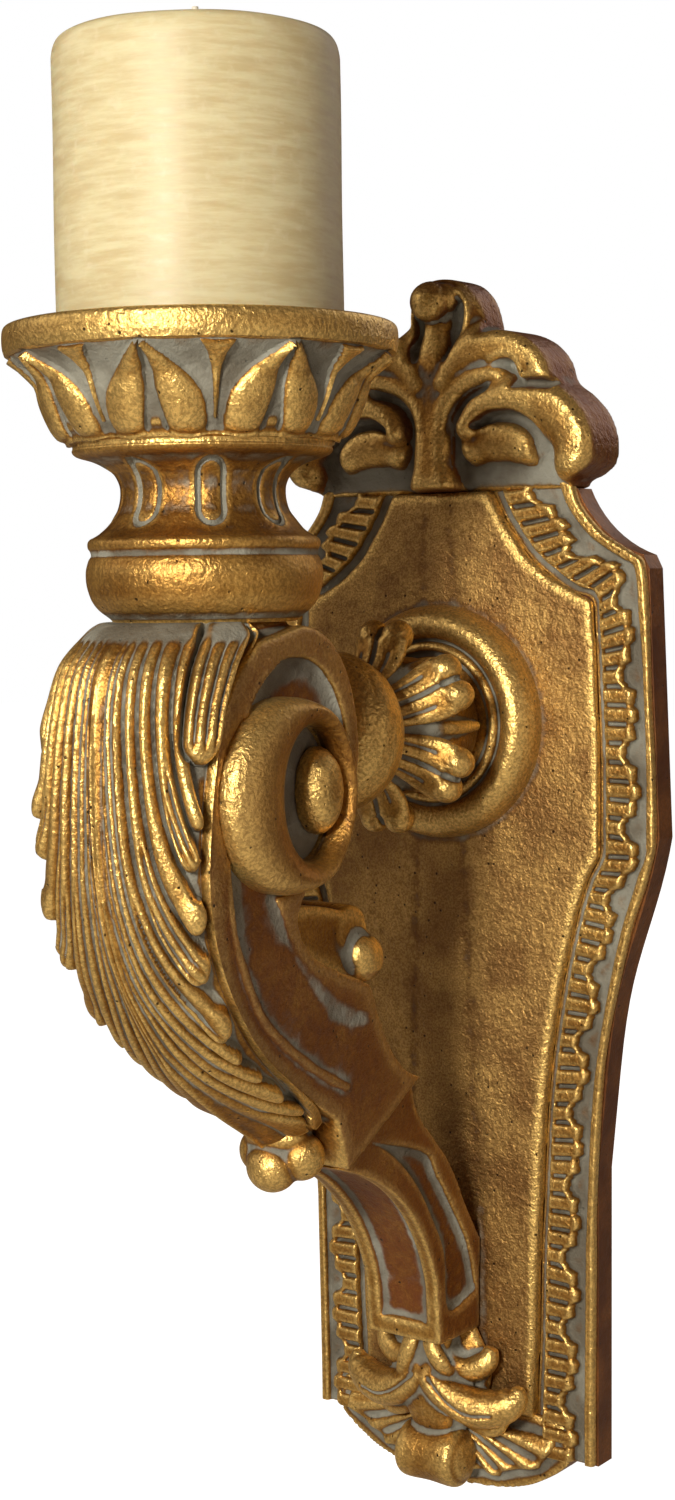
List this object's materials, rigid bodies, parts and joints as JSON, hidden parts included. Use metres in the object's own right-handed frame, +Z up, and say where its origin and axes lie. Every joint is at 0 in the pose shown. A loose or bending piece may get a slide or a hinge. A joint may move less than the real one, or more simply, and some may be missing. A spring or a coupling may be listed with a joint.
{
  "type": "wall sconce candle holder",
  "caption": "Carved and gilded wall sconce: shaped backplate, acanthus scroll arm and a leaf-carved cup that holds one pillar candle.",
  "frame": {"origin": "on the wall face of the backplate, at the height of the boss that carries the arm", "axes": "+X to the right as seen from the room, +Y into the wall, +Z up"},
  "size_m": [0.147, 0.1765, 0.4353],
  "materials": {
    "gilt": "antique gold leaf on cast resin, grey wash in the recesses",
    "bole_gilt": "thin gold over red-brown bole, bare at the back",
    "beech": "plain beech dowel",
    "steel": "zinc plated",
    "wax": "ivory candle wax",
    "cotton": "braided cotton"
  },
  "bodies": {
    "sconce": {"backplate": "bole_gilt", "centre_panel": "gilt", "right_border": "gilt", "left_border": "gilt", "crest": "gilt", "crest_dowels": "beech", "base_shell": "gilt", "drop_leaf": "gilt", "boss_ring": "gilt", "rosette": "gilt", "spindle_bead": "gilt", "scroll_arm": "gilt", "acanthus_leaf": "gilt", "back_scroll": "gilt", "leg": "gilt", "right_volute_ring": "gilt", "left_volute_ring": "gilt", "right_eye_button": "gilt", "left_eye_button": "gilt", "cup_spool": "gilt", "dish": "gilt", "cup_rod": "steel", "rod_nut": "steel", "rod_washer": "steel", "arm_stud": "steel", "foot_screw": "steel", "foot_washer": "steel", "hanger_plates": "steel", "hanger_screws": "steel"},
    "candle_body": {"candle": "wax", "wick": "cotton"}
  },
  "joints": [
    {"name": "candle_lift", "type": "slide", "parent": "sconce", "child": "candle_body", "axis": [0, 0, 1], "range_m": [0, 0.1]}
  ]
}
